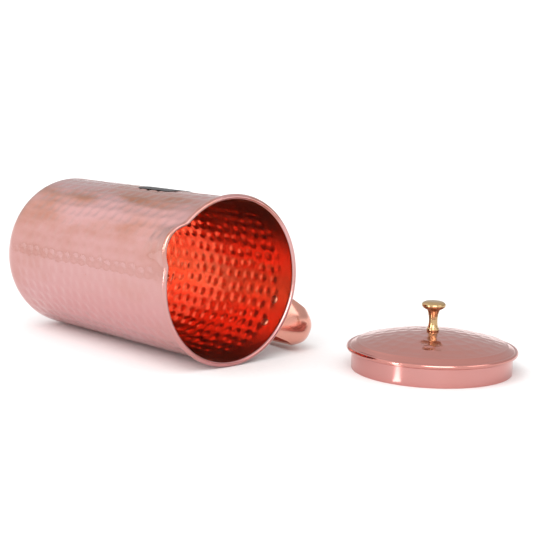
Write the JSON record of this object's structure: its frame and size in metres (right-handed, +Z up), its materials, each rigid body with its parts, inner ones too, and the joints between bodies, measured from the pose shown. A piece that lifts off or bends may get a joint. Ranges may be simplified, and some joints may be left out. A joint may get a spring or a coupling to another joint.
{
  "type": "copper water jug with lid",
  "caption": "Hammered copper water jug with a pouring lip, a riveted strap handle and a separate domed lid with a turned brass knob.",
  "frame": {"origin": "centre of the footprint of the jug and its lid, on the floor they lie on", "axes": "+X along the lying jug from its base towards its mouth, +Z up, the handle's side and the lid towards +Y"},
  "size_m": [0.3266, 0.2062, 0.109],
  "materials": {
    "hammered_copper": "hammered and polished copper",
    "plain_copper": "smooth polished copper",
    "rivet_copper": "polished copper",
    "lid_copper": "hammered and polished copper",
    "brass": "turned and polished brass",
    "steel": "bright zinc",
    "label": "satin, plain"
  },
  "bodies": {
    "jug": {"jug_wall": "hammered_copper", "jug_base": "hammered_copper", "handle": "plain_copper", "upper_handle_rivets": "rivet_copper", "lower_handle_rivets": "rivet_copper", "label": "label"},
    "lid": {"lid_top": "lid_copper", "lid_edge": "lid_copper", "lid_skirt": "lid_copper", "lid_knob": "brass", "knob_screw": "steel", "knob_washer": "steel"}
  },
  "joints": [
    {"name": "lid_lift", "type": "slide", "parent": "jug", "child": "lid", "axis": [0, 0, 1], "range_m": [0, 0.15]}
  ]
}
